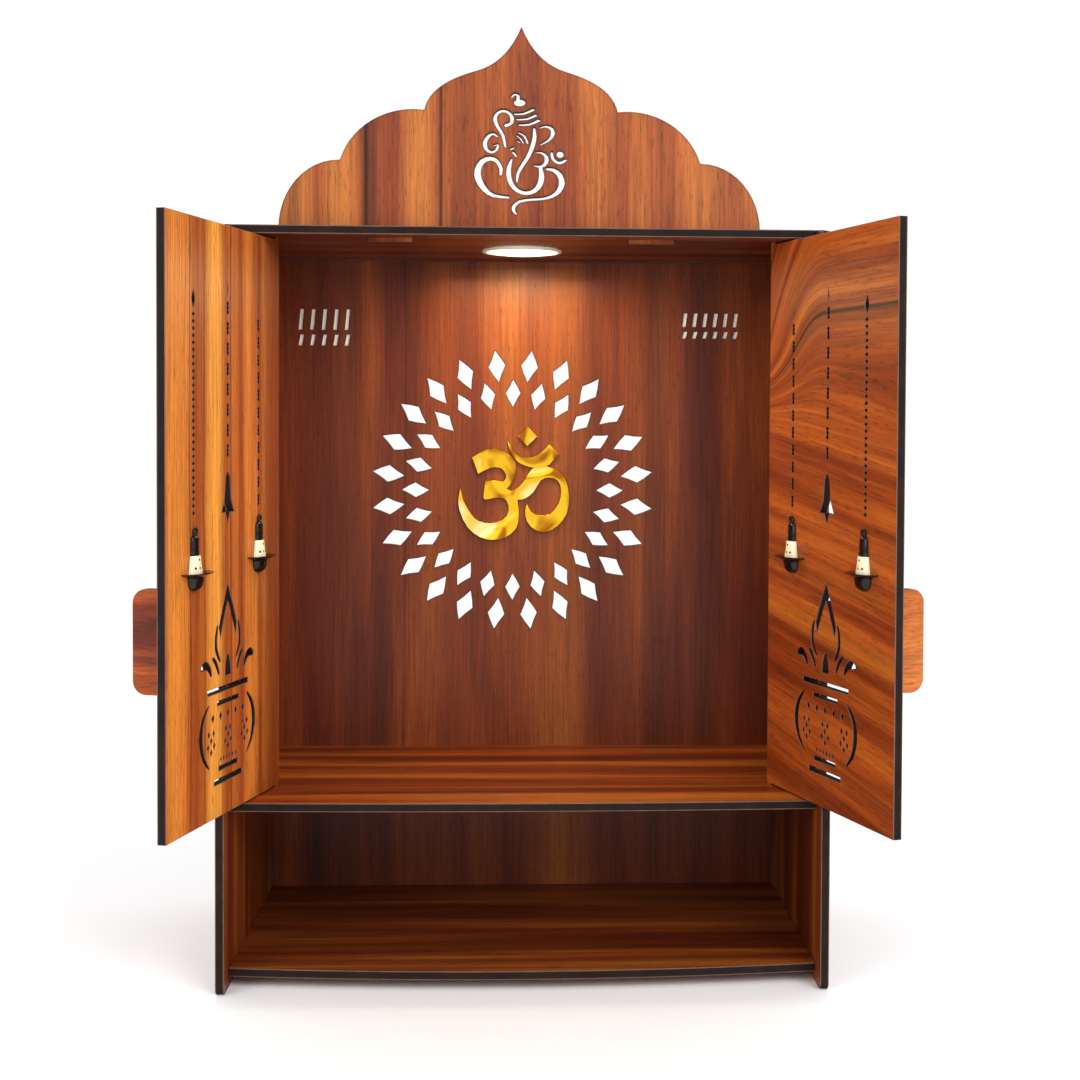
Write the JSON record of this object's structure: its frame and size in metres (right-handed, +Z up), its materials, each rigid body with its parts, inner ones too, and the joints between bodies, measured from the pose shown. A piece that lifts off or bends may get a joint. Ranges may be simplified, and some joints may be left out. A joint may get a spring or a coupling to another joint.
{
  "type": "household altar cabinet",
  "caption": "Home altar cabinet of laminated board: scalloped crown, shrine behind pivoting pierced doors, open compartment below, gold emblem on a pierced back wall.",
  "frame": {"origin": "middle of the underside of the object's box with the doors open as pictured, on the floor plane", "axes": "+Z up, -Y towards the open front, +X to the right seen from the front"},
  "size_m": [0.4556, 0.298, 0.6095],
  "materials": {
    "side_laminate": "semi-gloss walnut laminate with dark cut edges",
    "back_laminate": "semi-gloss walnut laminate, upright grain",
    "shelf_laminate": "semi-gloss walnut laminate, lengthwise grain",
    "crown_laminate": "semi-gloss walnut laminate, upright grain",
    "door_laminate": "semi-gloss walnut laminate, warm orange figure",
    "handle_laminate": "semi-gloss walnut laminate, level grain",
    "gold_acrylic": "gold mirror acrylic",
    "light_ring": "white satin plastic",
    "light_lens": "frosted diffuser",
    "black_acrylic": "gloss black acrylic",
    "ivory_acrylic": "gloss ivory acrylic"
  },
  "bodies": {
    "cabinet": {"side_panel_left": "side_laminate", "side_panel_right": "side_laminate", "back_panel": "back_laminate", "top_panel": "side_laminate", "middle_shelf": "shelf_laminate", "bottom_shelf": "shelf_laminate", "crown_arch": "crown_laminate", "om_emblem": "gold_acrylic", "om_emblem_dot": "gold_acrylic", "led_ring": "light_ring", "led_lens": "light_lens"},
    "left_door": {"door_left": "door_laminate", "door_handle_left": "handle_laminate", "lamp_hook_left_outer": "black_acrylic", "lamp_body_left_outer": "ivory_acrylic", "lamp_cup_left_outer": "black_acrylic", "lamp_hook_left_inner": "black_acrylic", "lamp_body_left_inner": "ivory_acrylic", "lamp_cup_left_inner": "black_acrylic"},
    "right_door": {"door_right": "door_laminate", "door_handle_right": "handle_laminate", "lamp_hook_right_outer": "black_acrylic", "lamp_body_right_outer": "ivory_acrylic", "lamp_cup_right_outer": "black_acrylic", "lamp_hook_right_inner": "black_acrylic", "lamp_body_right_inner": "ivory_acrylic", "lamp_cup_right_inner": "black_acrylic"}
  },
  "joints": [
    {"name": "left_door_hinge", "type": "hinge", "parent": "cabinet", "child": "left_door", "pos_m": [-0.16818, 0.00918, 0.117], "axis": [0, 0, 1], "range_deg": [-3.3, 103.9]},
    {"name": "right_door_hinge", "type": "hinge", "parent": "cabinet", "child": "right_door", "pos_m": [0.16042, 0.00918, 0.117], "axis": [0, 0, 1], "range_deg": [-107.2, 0]}
  ]
}
